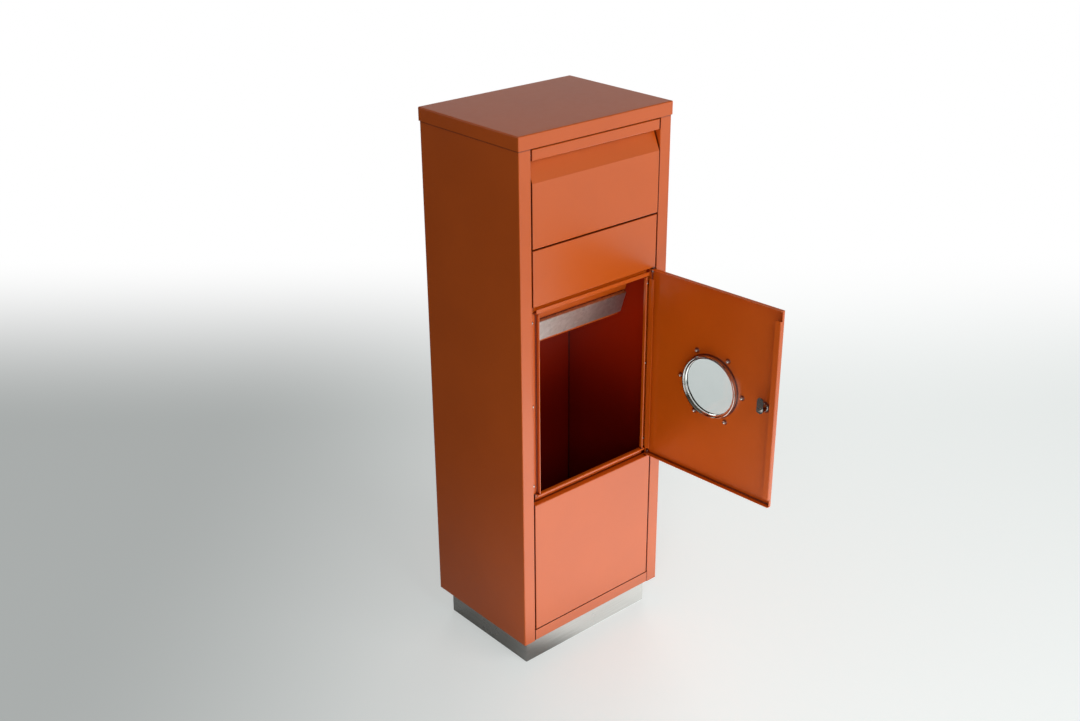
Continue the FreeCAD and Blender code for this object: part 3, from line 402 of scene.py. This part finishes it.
def make_floor_material():
    """Pale floor with a painted shade, greyer on the left, that fades to white in the distance and shows a
    painted glow in reflections.
    """
    material = bpy.data.materials.new("studio_floor")
    s = Shader(material)
    place = s.add("ShaderNodeTexCoord").outputs["Object"]
    towards = s.along(place, BRIGHT_SIDE)
    # Painted shade: the floor turns grey away from the lit side, and glows less there for the camera
    bright = s.smooth(towards, *GREY_TO_PALE)
    distance = s.add("ShaderNodeVectorMath", {0: place}, operation="LENGTH").outputs["Value"]
    behind = s.along(place, BACKGROUND_SIDE)
    fade = s.math("MAXIMUM", s.smooth(behind, *FADE_BEHIND), s.smooth(distance, *FADE_ROUND))
    path = s.add("ShaderNodeLightPath")
    clear = s.math("MAXIMUM", path.outputs["Is Camera Ray"], path.outputs["Is Transmission Ray"])
    # Painted glow: the floor's pale side glows in reflections only
    mirror = s.math("MULTIPLY", path.outputs["Is Glossy Ray"], s.math("SUBTRACT", 1.0, clear))
    mirror = s.math("MULTIPLY", mirror, s.smooth(towards, *MIRROR_FROM))
    near = s.ramp(s.math("DIVIDE", distance, SHINE_REACH), SHINE_STOPS)
    glow_strength = s.math("MULTIPLY", clear, s.spread(bright, *FLOOR_GLOW))
    shine_strength = s.math("MULTIPLY", s.math("MULTIPLY", mirror, FLOOR_SHINE), near)
    strength = s.math("ADD", glow_strength, shine_strength)
    matt = s.add("ShaderNodeBsdfDiffuse", {"Color": s.ramp(bright, FLOOR_TINT_AND_SHADE_STOPS)})
    glow = s.add("ShaderNodeEmission", {"Color": (*FLOOR_WHITE, 1.0), "Strength": strength})
    lit = s.join("ShaderNodeAddShader", matt, glow)
    white = s.add("ShaderNodeEmission", {"Color": (*SKY_WHITE, 1.0), "Strength": 1.0})
    whole = s.join("ShaderNodeMixShader", lit, white)
    s.tree.links.new(s.math("MULTIPLY", s.math("MAXIMUM", clear, mirror), fade), whole.inputs["Fac"])
    s.add("ShaderNodeOutputMaterial", {"Surface": whole.outputs[0]})
    return material


def make_floor():
    """Plain square floor under the object."""
    signs = [(-1, -1), (1, -1), (1, 1), (-1, 1)]
    corners = [(FLOOR_HALF * x, FLOOR_HALF * y, 0) for x, y in signs]
    mesh = bpy.data.meshes.new("studio_floor")
    mesh.from_pydata(corners, [], [(0, 1, 2, 3)])
    mesh.materials.append(make_floor_material())
    floor = bpy.data.objects.new("studio_floor", mesh)
    bpy.context.scene.collection.objects.link(floor)


def make_world():
    """White backdrop, surroundings dimmer overhead in reflections, and an even soft light."""
    world = bpy.data.worlds.new("studio")
    bpy.context.scene.world = world
    s = Shader(world)
    axes = s.add("ShaderNodeSeparateXYZ", {"Vector": s.add("ShaderNodeTexCoord").outputs["Generated"]})
    sky = s.ramp(axes.outputs["Z"], SKY_STOPS)
    light = s.add("ShaderNodeBackground", {"Color": (*SKY_WHITE, 1.0), "Strength": SKY_LIGHT})
    mirrored = s.add("ShaderNodeBackground", {"Color": sky, "Strength": 1.0})
    backdrop = s.add("ShaderNodeBackground", {"Color": (*SKY_WHITE, 1.0), "Strength": 1.0})
    path = s.add("ShaderNodeLightPath")
    lit = s.join("ShaderNodeMixShader", light, mirrored)
    s.tree.links.new(path.outputs["Is Glossy Ray"], lit.inputs["Fac"])
    whole = s.join("ShaderNodeMixShader", lit, backdrop)
    clear = s.math("MAXIMUM", path.outputs["Is Camera Ray"], path.outputs["Is Transmission Ray"])
    s.tree.links.new(clear, whole.inputs["Fac"])
    s.add("ShaderNodeOutputWorld", {"Surface": whole.outputs[0]})


def add_softbox(name, at, target, size, power):
    """Rectangular soft lamp that points at a target and doesn't show in reflections."""
    lamp = bpy.data.lights.new(name, "AREA")
    lamp.shape = "RECTANGLE"
    lamp.size, lamp.size_y = size
    lamp.energy = power
    softbox = bpy.data.objects.new(name, lamp)
    softbox.location = at
    softbox.rotation_mode = "QUATERNION"
    softbox.rotation_quaternion = (Vector(target) - Vector(at)).to_track_quat("-Z", "Y")
    softbox.visible_camera = False
    softbox.visible_glossy = False
    bpy.context.scene.collection.objects.link(softbox)


def make_camera():
    """Camera at the photograph's viewing angle."""
    azimuth = math.radians(CAMERA_AZIMUTH)
    elevation = math.radians(CAMERA_ELEVATION)
    roll = math.radians(CAMERA_ROLL)
    forward = Vector((
        -math.sin(azimuth) * math.cos(elevation),
        math.cos(azimuth) * math.cos(elevation),
        -math.sin(elevation),
    ))
    level = forward.cross(Vector((0, 0, 1))).normalized()
    upright = level.cross(forward)
    right = level * math.cos(roll) + upright * math.sin(roll)
    up = right.cross(forward)
    data = bpy.data.cameras.new("camera")
    data.sensor_width = SENSOR_W
    data.lens = LENS
    camera = bpy.data.objects.new("camera", data)
    turn = Matrix((right, up, -forward)).transposed().to_4x4()
    camera.matrix_world = Matrix.Translation(CAMERA_AT) @ turn
    bpy.context.scene.collection.objects.link(camera)
    bpy.context.scene.camera = camera


finish_nodes()
make_floor()
make_world()
for softbox_name, (at, target, size, power) in SOFTBOXES.items():
    add_softbox(softbox_name, at, target, size, power)
make_camera()
bpy.context.scene.view_settings.view_transform = "Standard"
